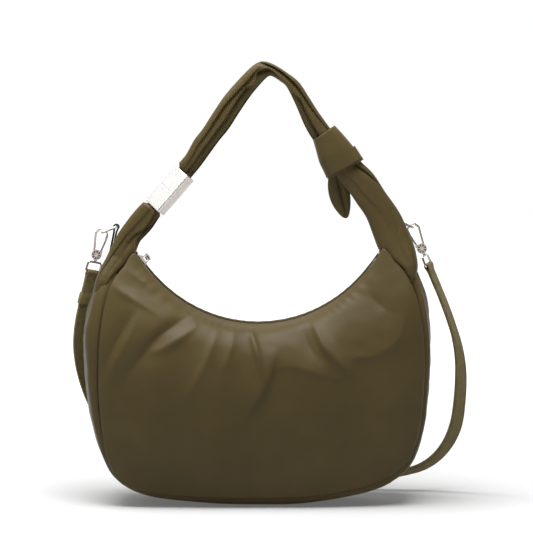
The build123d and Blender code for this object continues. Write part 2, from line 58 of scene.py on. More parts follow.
def vec(*values):
    return np.array(values, float)


def unit(vectors):
    """Vectors scaled to length 1, along the last axis."""
    return vectors / np.maximum(np.linalg.norm(vectors, axis=-1, keepdims=True), 1e-9)


def travelled(points):
    """How far along a polyline each of its points lies."""
    return np.r_[0, np.cumsum(np.linalg.norm(np.diff(points, axis=0), axis=1))]


def resample(points, count):
    """Points spaced evenly along a polyline."""
    along = travelled(points)
    at = np.linspace(0, along[-1], count)
    return np.stack([np.interp(at, along, points[:, k]) for k in range(points.shape[1])], 1)


def through(points, count):
    """A smooth curve through given points, sampled evenly along its length."""
    points = np.array(points, float)
    padded = np.vstack([2 * points[0] - points[1], points, 2 * points[-1] - points[-2]])
    fine = []
    t = np.linspace(0, 1, CURVE_STEPS, endpoint=False)[:, None]
    for i in range(len(points) - 1):
        a, b, c, d = padded[i:i + 4]
        fine.append(0.5 * (2 * b + (c - a) * t + (2 * a - 5 * b + 4 * c - d) * t**2
                           + (3 * b - a - 3 * c + d) * t**3))
    return resample(np.vstack(fine + [points[-1:]]), count)


def full_turn(count):
    """Angles spaced evenly round a circle."""
    return np.linspace(0, 2 * pi, count, endpoint=False)


def superellipse(count, x_power, y_power):
    """Points round a squared-off circle of radius 1; a power of 2 gives the plain circle."""
    x, y = np.cos(full_turn(count)), np.sin(full_turn(count))
    return np.sign(x) * np.abs(x)**(2 / x_power), np.sign(y) * np.abs(y)**(2 / y_power)


def grid_faces(rows, columns, close_columns=False, flip=False):
    """Quads of a grid of vertices stored row by row."""
    faces = []
    for i in range(rows - 1):
        for j in range(columns if close_columns else columns - 1):
            a, b = i * columns + j, i * columns + (j + 1) % columns
            c, d = b + columns, a + columns
            faces.append((a, d, c, b) if flip else (a, b, c, d))
    return faces


def make_mesh(name, points, faces, material, body=None, smooth=True):
    """A mesh object from millimetre points; it rides on a body unless body is None."""
    mesh = bpy.data.meshes.new(name)
    mesh.from_pydata((np.asarray(points, float) * MM).tolist(), [], faces)
    mesh.validate()
    mesh.materials.append(material)
    mesh.polygons.foreach_set("use_smooth", [smooth] * len(mesh.polygons))
    piece = bpy.data.objects.new(name, mesh)
    bpy.context.scene.collection.objects.link(piece)
    if body:
        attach(piece, body)
    return piece


def grid_mesh(name, grid, material, body, close_columns=False, flip=False):
    """A mesh object from a grid of millimetre points."""
    faces = grid_faces(*grid.shape[:2], close_columns, flip)
    return make_mesh(name, grid.reshape(-1, 3), faces, material, body)


def thicken(piece, thickness, offset=-1.0):
    """Give a sheet its thickness in millimetres, with the modifier applied."""
    modifier = piece.modifiers.new("thickness", "SOLIDIFY")
    modifier.thickness = thickness * MM
    modifier.offset = offset
    graph = bpy.context.evaluated_depsgraph_get()
    graph.update()
    mesh = bpy.data.meshes.new_from_object(piece.evaluated_get(graph))
    piece.modifiers.clear()
    piece.data = mesh


def grid_normals(grid):
    """Unit normals of a grid of points, from its two directions."""
    du = np.gradient(grid, axis=1)
    dv = np.gradient(grid, axis=0)
    return unit(np.cross(du, dv))


def outward_normals(grid):
    """Unit normals of a grid of points that face away from the middle of the body."""
    normal = grid_normals(grid)
    return normal * np.sign((normal * (grid - HEART)).sum(-1, keepdims=True))


def noise_field(x, y, seed, scale):
    """Smooth random values near -1 to 1: a few sums of waves in random directions."""
    waves = np.random.default_rng(seed)
    value = np.zeros_like(x)
    for octave in range(NOISE_OCTAVES):
        for _ in range(NOISE_WAVES):
            angle, phase = waves.uniform(0, 2 * pi, 2)
            k = 2 * pi / (scale / 2**octave) * waves.uniform(0.7, 1.3)
            value += np.sin(k * (x * cos(angle) + y * sin(angle)) + phase) / 2**octave / 4
    return value


# ---- materials ---------------------------------------------------------------------------


class Nodes:
    """Small helper that builds a node tree and its links."""

    def __init__(self, name):
        self.material = bpy.data.materials.new(name)
        self.material.use_nodes = True
        self.tree = self.material.node_tree
        self.shader = self.tree.nodes["Principled BSDF"]
        self.place = self.add("ShaderNodeTexCoord").outputs["Object"]

    def add(self, kind, inputs=None, **settings):
        node = self.tree.nodes.new(kind)
        for key, value in settings.items():
            setattr(node, key, value)
        for key, value in (inputs or {}).items():
            socket = node.inputs[key]
            if isinstance(value, bpy.types.NodeSocket):
                self.tree.links.new(value, socket)
            else:
                socket.default_value = value
        return node

    def noise(self, scale, detail=2.0, stretch=(1, 1, 1)):
        mapped = self.add("ShaderNodeMapping", {"Vector": self.place, "Scale": stretch})
        return self.add("ShaderNodeTexNoise", {
            "Vector": mapped.outputs[0], "Scale": scale, "Detail": detail,
        }).outputs["Fac"]

    def wave(self, scale, direction, distortion=0.0):
        return self.add("ShaderNodeTexWave", {
            "Vector": self.place, "Scale": scale, "Distortion": distortion,
            "Detail": 1.0,
        }, wave_type="BANDS", bands_direction=direction).outputs["Fac"]

    def math(self, operation, a, b):
        return self.add("ShaderNodeMath", {0: a, 1: b}, operation=operation).outputs[0]

    def ramp(self, value, low, high):
        """Colours between low and high as value goes from 0.3 to 0.7."""
        node = self.add("ShaderNodeValToRGB", {"Fac": value})
        for element, colour, at in zip(node.color_ramp.elements, (low, high), (0.3, 0.7)):
            element.color = (*colour, 1)
            element.position = at
        return node.outputs["Color"]

    def levels(self, value, low, high):
        """A number between low and high as value goes from 0 to 1."""
        return self.add("ShaderNodeMapRange", {
            "Value": value, "To Min": low, "To Max": high,
        }).outputs["Result"]

    def bump(self, height, distance, strength=1.0, before=None):
        inputs = {"Height": height, "Distance": distance, "Strength": strength}
        if before is not None:
            inputs["Normal"] = before
        return self.add("ShaderNodeBump", inputs).outputs["Normal"]

    def set(self, **sockets):
        for key, value in sockets.items():
            socket = self.shader.inputs[key.replace("_", " ")]
            if isinstance(value, bpy.types.NodeSocket):
                self.tree.links.new(value, socket)
            else:
                socket.default_value = value
        return self.material


THREADS = 900               # threads of a weave and scratches of a metal, per metre of texture


def nylon(name, low, high, roughness, sheen):
    """Densely woven satin nylon with soft colour variation and small creases."""
    n = Nodes(name)
    patches = n.noise(14, 3)
    threads = n.math("MULTIPLY", n.wave(THREADS, "X"), n.wave(THREADS, "Z"))
    creases = n.noise(75, 4, (1, 1, 0.6))
    normal = n.bump(threads, 0.00004, 0.5)
    normal = n.bump(creases, 0.00025, 0.5, normal)
    return n.set(Base_Color=n.ramp(patches, low, high), Normal=normal, Sheen_Weight=sheen,
                 Roughness=n.levels(creases, roughness - 0.07, roughness + 0.07),
                 Sheen_Roughness=0.4, Specular_IOR_Level=0.12)


def webbing(name, low, high, rib="Z"):
    """Ribbed woven webbing."""
    n = Nodes(name)
    ribs = n.wave(330, rib, 0.4)
    threads = n.wave(THREADS, "X")
    normal = n.bump(ribs, 0.00018, 0.7)
    normal = n.bump(threads, 0.00006, 0.5, normal)
    return n.set(Base_Color=n.ramp(n.noise(220, 3), low, high), Normal=normal,
                 Roughness=n.levels(ribs, 0.62, 0.78), Sheen_Weight=0.05,
                 Specular_IOR_Level=0.2)


def metal(name, low, high, roughness, brushed=0.0):
    """Polished plating with faint scratches, or brushed where brushed is over 0."""
    n = Nodes(name)
    scratches = n.noise(THREADS, 2, (1, 1, 0.05) if brushed else (1, 1, 1))
    cloud = n.noise(60, 3)
    normal = n.bump(scratches, 0.00001 + brushed * 0.00006, 0.4)
    return n.set(Base_Color=n.ramp(cloud, low, high), Metallic=1.0, Normal=normal,
                 Roughness=n.levels(cloud, roughness, roughness + 0.1))


OLIVE = nylon("olive_nylon", (0.058, 0.0425, 0.0155), (0.074, 0.054, 0.02), 0.44, 0.03)
LINING = nylon("lining_cloth", (0.07, 0.06, 0.04), (0.09, 0.078, 0.05), 0.75, 0.1)
TAPE = webbing("zip_tape_cloth", (0.04, 0.033, 0.018), (0.055, 0.045, 0.026), "X")
STRAP = webbing("strap_cloth", (0.13, 0.102, 0.042), (0.17, 0.135, 0.056))
STITCH = webbing("stitch_thread", (0.085, 0.07, 0.036), (0.12, 0.1, 0.055), "X")
BLACK = webbing("black_webbing_cloth", (0.008, 0.008, 0.008), (0.02, 0.02, 0.02))
NICKEL = metal("nickel_plate", (0.66, 0.6, 0.54), (0.8, 0.74, 0.68), 0.2)
# painted shade: a dark metal for plates laid in the hooks' cap flutes, where only shadow darkens
# the plating
PAINTED_SHADE_NICKEL = metal("nickel_painted_shade", (0.12, 0.11, 0.1), (0.2, 0.18, 0.17), 0.35)
SLIDE_METAL = metal("slide_plate", (0.76, 0.74, 0.71), (0.82, 0.8, 0.77), 0.3)
SLIDE_SIDE = metal("slide_brushed", (0.62, 0.57, 0.54), (0.74, 0.69, 0.66), 0.3, 1.0)

# ---- body --------------------------------------------------------------------------------

MOUTH = vec(1, 315)         # centre of the round mouth, X and Z
MOUTH_3D = vec(MOUTH[0], 0, MOUTH[1])
MOUTH_R = 137.5
MOUTH_START, MOUTH_END = 209.6, 332.6
MOUTH_HALF_GAP = 14.0
HEART = vec(0, 0, 120)      # middle of the body
BULGE = 21.0                # how far the panels stand out past their edges

# Seam and outline of the gusset, from the left corner round the bottom to the right one:
# X and Z of the seam, X and Z of the outline beside it, and the seam's distance from Y = 0.
GUSSET = [
    (-119.5, 247.5, -140, 256, 14), (-139, 234, -157, 236, 21), (-150, 213, -166.5, 211, 29),
    (-157, 173, -172.3, 170, 36), (-159, 127, -170, 120, 38), (-156, 80, -163.5, 79, 38),
    (-149, 45, -152, 46, 38), (-134, 24, -138, 25, 38), (-105, 14, -108, 9.5, 38),
    (-50, 9, -50, 2, 38), (0, 8, 0, 0.3, 38), (50, 9, 50, 2, 38), (105, 18, 109, 12.5, 36),
    (134, 31, 138, 26, 34), (151, 47, 154, 41, 32), (162, 74, 165, 73, 30),
    (167, 112, 170.8, 116, 29), (168, 150, 172.3, 158, 28), (165, 187, 170, 199, 27),
    (158, 216, 165, 227, 24), (146, 238, 159, 245, 18), (123, 252, 146, 258, 14),
]
CORNER_LEFT, CORNER_RIGHT = 7, 14   # rows of GUSSET where the panel's side becomes its bottom
PANEL_COLUMNS, PANEL_ROWS = 220, 150

# Folds of a panel: the line that a fold follows (X, Z), its height (negative for a valley), and
# how wide it is on its steep side, to the left of that line, and on its gentle side.
FRONT_FOLDS = [
    ([(-120, 196), (-146, 150), (-156, 114)], -3.6, 4, 9),
    ([(-114, 198), (-128, 166), (-142, 136), (-158, 106)], 4.0, 9, 4),
    ([(-66, 190), (-93, 175), (-113, 154), (-140, 116)], -5.4, 11, 5),
    ([(-56, 182), (-86, 162), (-112, 152)], 3.0, 4, 6),
    ([(-152, 226), (-125, 207), (-90, 186)], 2.0, 6, 3),
    ([(-138, 240), (-112, 222), (-80, 198)], 1.6, 5, 3),
    ([(-38, 178), (-52, 142), (-72, 104)], 3.2, 7, 4),
    ([(-22, 178), (-28, 152), (-38, 124)], 2.4, 6, 3),
    ([(-8, 180), (0, 154), (10, 120)], 3.6, 4, 3),
    ([(18, 160), (12, 128), (-6, 98), (-14, 82)], 3.2, 3, 9),
    ([(20, 150), (10, 120), (-14, 78)], -2.4, 9, 4),
    ([(14, 140), (38, 141), (64, 133), (96, 128)], 2.0, 10, 4),
    ([(54, 186), (66, 160), (83, 142), (98, 126)], 4.4, 7, 3),
    ([(44, 182), (52, 160), (66, 142)], -2.6, 6, 8),
    ([(90, 126), (96, 149), (114, 151), (138, 167), (152, 202)], 2.6, 12, 4),
    ([(108, 214), (128, 196), (146, 190)], -1.6, 6, 9),
    ([(128, 254), (143, 246), (156, 220), (162, 196)], -5.5, 4, 3),
    ([(30, 112), (33, 84), (32, 52)], 1.5, 9, 12),
    ([(126, 20), (136, 42), (146, 74)], 2.0, 6, 9),
    ([(-128, 92), (-118, 66), (-100, 38)], 1.6, 9, 12),
    ([(-62, 96), (-46, 62), (-30, 34)], 1.5, 12, 14),
]
BACK_FOLDS = [
    ([(-150, 205), (-128, 184), (-104, 160)], 3.6, 6, 12),
    ([(-152, 124), (-128, 152), (-108, 194)], 3.4, 5, 11),
    ([(-126, 146), (-98, 162), (-66, 186)], -4.2, 5, 10),
    ([(-22, 178), (-16, 150), (-4, 116)], 3.0, 4, 7),
    ([(22, 176), (18, 148), (8, 122)], -3.0, 5, 8),
    ([(56, 188), (66, 164), (88, 134)], 4.0, 4, 8),
    ([(94, 210), (112, 182), (138, 146)], -3.4, 5, 10),
    ([(118, 232), (136, 214), (152, 186)], 3.0, 5, 9),
    ([(-66, 102), (-54, 74), (-38, 40)], 2.0, 12, 14),
    ([(34, 108), (48, 76), (64, 38)], -1.8, 12, 14),
    ([(98, 102), (112, 78), (126, 46)], 1.8, 10, 12),
]


def mouth_arc(count):
    """X, Z points along the mouth's edge from left to right."""
    angles = np.radians(np.linspace(MOUTH_START, MOUTH_END, count))
    return MOUTH + MOUTH_R * np.stack([np.cos(angles), np.sin(angles)], 1)


STEPS = 40                  # samples between two rows of GUSSET
gusset_line = through(GUSSET, 1 + STEPS * (len(GUSSET) - 1))
seam_line = gusset_line[:, [0, 1, 4]]


def seam_index(row):
    """The sample of gusset_line nearest to a row of GUSSET."""
    return int(np.argmin(np.linalg.norm(gusset_line - np.array(GUSSET[row]), axis=1)))


left_corner, right_corner = seam_index(CORNER_LEFT), seam_index(CORNER_RIGHT)


def coons(top, bottom, left, right):
    """A grid filled in between four edges; rows go down and columns go right."""
    u = np.linspace(0, 1, top.shape[0])[None, :, None]
    v = np.linspace(0, 1, left.shape[0])[:, None, None]
    ruled_v = (1 - v) * top[None] + v * bottom[None]
    ruled_u = (1 - u) * left[:, None] + u * right[:, None]
    corners = ((1 - u) * (1 - v) * top[0] + u * (1 - v) * top[-1]
               + (1 - u) * v * bottom[0] + u * v * bottom[-1])
    return ruled_v + ruled_u - corners


def hump(t, power, root):
    """0 at both ends of 0 to 1 and 1 in the middle, steep at the ends."""
    return (1 - np.abs(2 * t - 1)**power)**root


FOLD_SAMPLES, FOLD_GAIN = 48, 1.15
ROLL, PUCKER = 0.6, 0.2     # heights of the soft waves and of the puckers along the zip
PUCKERS = 31


def fold_height(x, z, folds):
    """Height of the listed folds at these points."""
    height = np.zeros_like(x)
    for points, rise, left_width, right_width in folds:
        line = through(points, FOLD_SAMPLES)
        ahead = np.gradient(line, axis=0)
        offset = np.stack([x, z], axis=-1)[..., None, :] - line
        nearest = (offset**2).sum(-1).argmin(-1)
        away = np.take_along_axis(offset, nearest[..., None, None], axis=2)[..., 0, :]
        forward = ahead[nearest]
        left = forward[..., 0] * away[..., 1] - forward[..., 1] * away[..., 0] > 0
        width = np.where(left, left_width, right_width)
        fade = np.sin(pi * (nearest / (len(line) - 1))**0.8)**1.4
        ridge = np.exp(-(np.linalg.norm(away, axis=-1) / width)**1.3)
        height += FOLD_GAIN * rise * fade * ridge
    return height


def panel_grid(side, folds, seed):
    """The front (side -1) or back (side 1) panel as a grid of points."""
    top = np.c_[mouth_arc(PANEL_COLUMNS), np.full(PANEL_COLUMNS, MOUTH_HALF_GAP)]
    left = resample(seam_line[:left_corner + 1], PANEL_ROWS)
    bottom = resample(seam_line[left_corner:right_corner + 1], PANEL_COLUMNS)
    right = resample(seam_line[right_corner:][::-1], PANEL_ROWS)
    left[0], right[0] = top[0], top[-1]
    flat = coons(top, bottom, left, right)
    u = np.linspace(0, 1, PANEL_COLUMNS)[None, :]
    v = np.linspace(0, 1, PANEL_ROWS)[:, None]
    swell = hump(u, 3.2, 0.75) * hump(v**0.72, 2.4, 0.66)
    depth = flat[..., 2] + BULGE * swell
    grid = np.stack([flat[..., 0], side * depth, flat[..., 1]], axis=-1)
    calm = np.minimum(1, swell * 2.2)
    x, z = grid[..., 0], grid[..., 2]
    puckers = np.sin(u * 2 * pi * PUCKERS + 4 * np.sin(u * 17)) * np.exp(-((v - 0.03) / 0.035)**2)
    height = (fold_height(x, z, folds) * calm + ROLL * noise_field(x, z, seed, 70) * calm
              + PUCKER * puckers * hump(u, 6, 1))
    grid = grid + outward_normals(grid) * height[..., None]
    return tuck(grid, grid_seam_distance(grid))


def grid_seam_distance(grid):
    """Distance along the cloth from each grid point to the panel's sewn sides and bottom."""
    across = np.linalg.norm(np.diff(grid, axis=1), axis=2)
    down = np.linalg.norm(np.diff(grid, axis=0), axis=2)
    from_left = np.c_[np.zeros(len(grid)), np.cumsum(across, axis=1)]
    from_right = from_left[:, -1:] - from_left
    from_top = np.vstack([np.zeros(grid.shape[1]), np.cumsum(down, axis=0)])
    from_bottom = from_top[-1:] - from_top
    return np.minimum(np.minimum(from_left, from_right), from_bottom)


SEAM_DEPTH = 5.5
SEAM_WIDTH = 3.0
CORNER_REACH = 15.0         # how near a mouth corner the cloth is pulled up into the handle
CORNER_PULL = 4.5
BASE_LIFT = 0.15            # the cloth's height over the floor
CLOTH_THICK = 0.9


def tuck(grid, distance):
    """Pull cloth near a seam towards the middle of the body, so that the seam is a groove.

    At the two corners of the mouth the handle pulls it the other way.
    """
    corner = np.zeros(grid.shape[:2])
    for x, z in mouth_arc(2):
        away = np.hypot(grid[..., 0] - x, grid[..., 2] - z)
        corner = np.maximum(corner, np.exp(-(away / CORNER_REACH)**2))
    pull = SEAM_DEPTH * np.exp(-(distance / SEAM_WIDTH)**2) * (1 - corner) - CORNER_PULL * corner
    return grid + unit(HEART - grid) * pull[..., None]


def flatten_base(points):
    """Press what would hang below the floor flat on it."""
    points = points.copy()
    points[..., 2] = np.maximum(points[..., 2], BASE_LIFT)
    return points


def panel(name, side, folds, seed, node):
    """One sewn panel with its turned edge along the zip."""
    grid = panel_grid(side, folds, seed)
    lip = grid[0].copy()
    lips = []
    direction = unit((lip - MOUTH_3D) * vec(1, 0, 1))
    stand = 1.7 * hump(np.linspace(0, 1, PANEL_COLUMNS), 4, 1)[:, None]
    for drop, inward in ((2.4, 0.9), (0.4, 1.1), (-0.2, 0.5)):
        lips.append(lip + direction * (drop - stand * (drop < 2)) - vec(0, side * inward, 0))
    grid[0] -= direction * stand
    grid = flatten_base(np.vstack([lips, grid]))
    piece = grid_mesh(name, grid, OLIVE, "root", flip=side > 0)
    thicken(piece, CLOTH_THICK)
    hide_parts(node)
    return grid[len(lips):]


front_grid = panel("front_panel_cloth", -1, FRONT_FOLDS, 3, "front_panel")
back_grid = panel("back_panel_cloth", 1, BACK_FOLDS, 8, "back_panel")

GUSSET_ACROSS = 60
GUSSET_SUNK = 6.0           # how deep its ends go into the handle's legs
BOTTOM_HALF = 95            # the bottom gusset reaches this far to either side


def gusset_grid():
    """The gusset as a grid: rows along it, columns from the front seam to the back seam."""
    line = gusset_line[seam_index(1):seam_index(-2)][::2]
    seam, outline, depth = line[:, :2], line[:, 2:4], line[:, 4]
    t = np.linspace(-1, 1, GUSSET_ACROSS)
    round_off = (1 - np.abs(t)**2.6)**(1 / 2.2)
    xz = seam[:, None] + (outline - seam)[:, None] * round_off[None, :, None]
    grid = np.stack([xz[..., 0], t[None] * depth[:, None], xz[..., 1]], axis=-1)
    along = np.arange(len(line))[:, None] / len(line)
    side_share = np.clip((np.abs(seam[:, 0]) - 100) / 40, 0, 1)[:, None]
    wave = (1.4 * np.sin(t[None] * 5.5 + 9 * along) + 0.9 * np.sin(t[None] * 11 - 14 * along))
    crumple = noise_field(grid[..., 1] * 1.5, grid[..., 2] * 0.6 + grid[..., 0], 21, 40)
    height = (0.55 * wave + 0.9 * crumple) * side_share * (1 - np.abs(t[None])**4)
    from_end = np.minimum(np.arange(len(line)), np.arange(len(line))[::-1])
    sunk = GUSSET_SUNK * np.exp(-(from_end / (0.5 * STEPS))**2)
    grid = grid + outward_normals(grid) * (height - sunk[:, None])[..., None]
    step = np.linalg.norm(np.diff(grid, axis=1), axis=2)
    from_front = np.c_[np.zeros(len(grid)), np.cumsum(step, axis=1)]
    distance = np.minimum(from_front, from_front[:, -1:] - from_front)
    return flatten_base(tuck(grid, distance))


gusset = gusset_grid()
middle = gusset[:, GUSSET_ACROSS // 2, 0]
for name, belongs in (("left_gusset", middle <= -BOTTOM_HALF),
                      ("bottom_gusset", abs(middle) <= BOTTOM_HALF),
                      ("right_gusset", middle >= BOTTOM_HALF)):
    rows = np.where(belongs)[0]
    piece = grid_mesh(f"{name}_cloth", gusset[rows[0]:rows[-1] + 2], OLIVE, "root",
                      flip=True)
    thicken(piece, CLOTH_THICK)
    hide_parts(name)

# ---- lining and slip pocket --------------------------------------------------------------
for name, grid, side in (("front_lining", front_grid, -1), ("back_lining", back_grid, 1)):
    inner = grid[::3, ::3]
    inner = inner + unit(HEART - inner) * 3.5
    inner[..., 1] -= side * 1.5
    piece = grid_mesh(f"{name}_cloth", inner, LINING, "root", flip=side > 0)
    thicken(piece, 0.4)
    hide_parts(name)

pocket = back_grid[60:120:2, 70:150:2]
pocket = pocket + unit(HEART - pocket) * 6
pocket[..., 1] -= 3.0
piece = grid_mesh("slip_pocket_cloth", pocket, LINING, "root", flip=True)
thicken(piece, 0.6)
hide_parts("slip_pocket")

# ---- zip ---------------------------------------------------------------------------------
TAPE_R = MOUTH_R + 0.5
TOOTH_PITCH = 2.4
PITCH_ANGLE = degrees(TOOTH_PITCH / MOUTH_R)
TEETH_START, TEETH_END = 210.4, 330.2


def mouth_frame(angle):
    """Outward and along directions at an angle round the mouth, as 3D unit vectors."""
    a = radians(angle)
    return vec(cos(a), 0, sin(a)), vec(-sin(a), 0, cos(a))


def mouth_place(angle, radius, y):
    outward, _ = mouth_frame(angle)
    return MOUTH_3D + outward * radius + vec(0, y, 0)


TAPE_SECTION = ((4.0, 0.5), (4.4, 0.0), (6, 0.1), (8, 0.25), (10, 0.1), (12, 0.4), (13.8, 1.3))
for side, name in ((-1, "front"), (1, "back")):
    angles = np.linspace(MOUTH_START + 0.3, MOUTH_END - 0.3, 170)
    tape = np.array([[mouth_place(a, TAPE_R + rise, side * y) for y, rise in TAPE_SECTION]
                     for a in angles])
    piece = grid_mesh(f"{name}_tape_cloth", tape, TAPE, "root", flip=side < 0)
    thicken(piece, 0.7)
    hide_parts(f"{name}_zip_tape")


CORNERS = ((-1, -1), (1, -1), (1, 1), (-1, 1))
BLOCK_TAPER = 0.86          # how much a block narrows over its chamfers


def block_faces(levels):
    """Faces of a block whose levels have four corners each, from the lowest up."""
    last = 4 * levels - 4
    sides = grid_faces(levels, 4, close_columns=True)
    return [(3, 2, 1, 0), (last, last + 1, last + 2, last + 3)] + sides


def box_shape(size):
    """Corners and faces of a small block with chamfered ends, centred on the origin."""
    x, y, z = np.array(size) / 2
    points = [(sx * x * shrink, sy * y * shrink, height) for height, shrink in
              ((-z, BLOCK_TAPER), (-z * 0.55, 1.0), (z * 0.55, 1.0), (z, BLOCK_TAPER))
              for sx, sy in CORNERS]
    return np.array(points), block_faces(4)


def placed(points, origin, x_dir, y_dir, z_dir):
    """Points given in a local frame, moved to the row frame."""
    return origin + points @ np.array([x_dir, y_dir, z_dir])


def joined(name, shapes, material, body, smooth=False):
    """One object from many small shapes, each (points, faces)."""
    points, faces, count = [], [], 0
    for shape_points, shape_faces in shapes:
        points.append(shape_points)
        faces += [tuple(i + count for i in face) for face in shape_faces]
        count += len(shape_points)
    return make_mesh(name, np.vstack(points), faces, material, body, smooth)


tooth_count = int((TEETH_END - TEETH_START) / PITCH_ANGLE)
for side, shift, name in ((-1, 0.0, "front"), (1, 0.5, "back")):
    shapes = []
    for i in range(tooth_count):
        angle = TEETH_START + (i + shift) * PITCH_ANGLE
        outward, along = mouth_frame(angle)
        for size, y, lift in (((1.35, 3.4, 2.9), 2.9, 0.0), ((1.0, 1.9, 1.9), 0.9, -0.1)):
            points, faces = box_shape(size)
            centre = mouth_place(angle, TAPE_R + 0.5 + lift, side * y)
            shapes.append((placed(points, centre, along, vec(0, 1, 0), -outward), faces))
    piece = joined(f"{name}_teeth", shapes, NICKEL, "root")
    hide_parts(f"{name}_zip_teeth")


STITCH_SHAPE = ((-0.5, 0.35), (-0.36, 0.9), (0.0, 1.0), (0.36, 0.9), (0.5, 0.35))
STITCH_AROUND = 6


def stitches(name, points, normals, length, radius, body):
    """A row of raised stitches along evenly spaced points; every second gap is a stitch."""
    shapes = []
    for k in range(0, len(points) - 1, 2):
        start, end, up = points[k], points[k + 1], normals[k]
        direction = unit(end - start)
        middle = (start + end) / 2 + up * radius * 0.35
        side = unit(np.cross(up, direction))
        ring = [middle + direction * along * length
                + (side * cos(a) + up * sin(a)) * radius * swell
                for along, swell in STITCH_SHAPE for a in full_turn(STITCH_AROUND)]
        faces = grid_faces(len(STITCH_SHAPE), STITCH_AROUND, close_columns=True)
        faces += [tuple(range(STITCH_AROUND))[::-1],
                  tuple(range(len(ring) - STITCH_AROUND, len(ring)))]
        shapes.append((np.array(ring), faces))
    joined(name, shapes, STITCH, body, True)


ZIP_STITCH_DROP = 2.6       # from the panel's edge, measured down its middle column
for grid, name in ((front_grid, "front_zip_stitching"), (back_grid, "back_zip_stitching")):
    down = travelled(grid[:, PANEL_COLUMNS // 2])
    row = int(np.argmin(np.abs(down - ZIP_STITCH_DROP)))
    line = np.c_[grid[row], outward_normals(grid)[row]]
    even = resample(line, 236)[4:-4]
    stitches(name, even[:, :3], unit(even[:, 3:]), 1.9, 0.28, "root")

# ---- handle ------------------------------------------------------------------------------
TUBE_AROUND = 176


def at(track, s):
    """A value that changes along a piece: (place, value) pairs, read at places s."""
    places, values = zip(*track)
    return np.interp(s, places, values)


def pleated(outer, inner, depth, creases, count=150, power=2.6, seed=1, crumple=0.35):
    """A folded tube of cloth between two outlines in X and Z.

    depth is a track of half thicknesses. Each crease is (track of places across the front
    or back, from 0 at the outer edge to 1 at the inner one, track of depths, width, back).
    Cloth just past a crease lies deeper and rises again over the crease's width.
    """
    outer, inner = through(outer, count), through(inner, count)
    middle = (outer + inner) / 2
    half = np.linalg.norm(outer - inner, axis=1) / 2
    across = unit(outer - inner)
    s = np.linspace(0, 1, count)
    thick = at(depth, s)
    x, y = superellipse(TUBE_AROUND, power, power)
    side = half[:, None] * x[None]
    deep = thick[:, None] * y[None]
    share = (1 - x[None]) / 2 + 0 * side
    for places, depths, width, back in creases:
        centre, fall = at(places, s)[:, None], at(depths, s)[:, None]
        past = (share - centre) * 2 * half[:, None]
        shape = np.where(past > 0, np.exp(-past / width), np.exp(-(past / 0.45)**2))
        facing = (y < -0.15) if back else (y > 0.15)
        deep -= np.sign(y)[None] * fall * shape * facing[None]
    rough = noise_field(side + 40 * s[:, None] + 9 * np.sign(y)[None], 160 * s[:, None] + 0 * side,
                        seed, 26)
    deep += np.sign(y)[None] * rough * crumple * np.abs(y)[None]**0.3
    place = middle[:, None] + across[:, None] * side[..., None]
    return np.stack([place[..., 0], -deep, place[..., 1]], axis=-1)


def tube(name, grid, material, body=None, caps=(True, True)):
    """A tube from rings of points, closed at the first and last ring where caps says so."""
    rows, columns = grid.shape[:2]
    faces = grid_faces(rows, columns, close_columns=True)
    if caps[0]:
        faces.append(tuple(range(columns))[::-1])
    if caps[1]:
        faces.append(tuple(range((rows - 1) * columns, rows * columns)))
    return make_mesh(name, grid.reshape(-1, 3), faces, material, body)


SLIDE_START = vec(-102, 0, 295)
SLIDE_ANGLE, SLIDE_ROLL = radians(49), radians(-32)
SLIDE_LENGTH, SLIDE_WIDTH, SLIDE_DEPTH = 46.0, 20.0, 13.0
SLIDE_PUSH, SLIDE_HOLD = 23.5, 4.0  # the left leg is cut into two pieces this far from the slide
SLIDE_INSIDE = (8.3, 4.9)   # half width and depth of the cloth inside the slide
GATHER_START, GATHER_LENGTH = 0.4, 2.6
slide_z = vec(cos(SLIDE_ANGLE), 0, sin(SLIDE_ANGLE))
slide_across = vec(sin(SLIDE_ANGLE), 0, -cos(SLIDE_ANGLE))
slide_x = slide_across * cos(SLIDE_ROLL) + vec(0, 1, 0) * sin(SLIDE_ROLL)
slide_y = vec(0, 1, 0) * cos(SLIDE_ROLL) - slide_across * sin(SLIDE_ROLL)


def gathered(grid, from_end):
    """Turn and narrow the end of a tube so that it goes into the metal slide.

    from_end gives each ring's distance from the slide's mouth, below 0 inside it.
    """
    grid = grid.copy()
    for i, distance in enumerate(from_end):
        near = np.clip(1 - (distance - GATHER_START) / GATHER_LENGTH, 0, 1)
        if near == 0:
            continue
        near = near * near * (3 - 2 * near)
        ring = grid[i]
        centre = ring.mean(axis=0)
        local = ring - centre
        a, b = local @ slide_across, local[:, 1]
        inside = (slide_x[None] * (a / np.abs(a).max() * SLIDE_INSIDE[0])[:, None]
                  + slide_y[None] * (b / np.abs(b).max() * SLIDE_INSIDE[1])[:, None])
        centre_on_axis = SLIDE_START + slide_z * ((centre - SLIDE_START) @ slide_z)
        grid[i] = ring * (1 - near) + (centre_on_axis + inside) * near
    return grid


INSIDE_SLIDE = -10          # cloth further inside the slide than this is left out


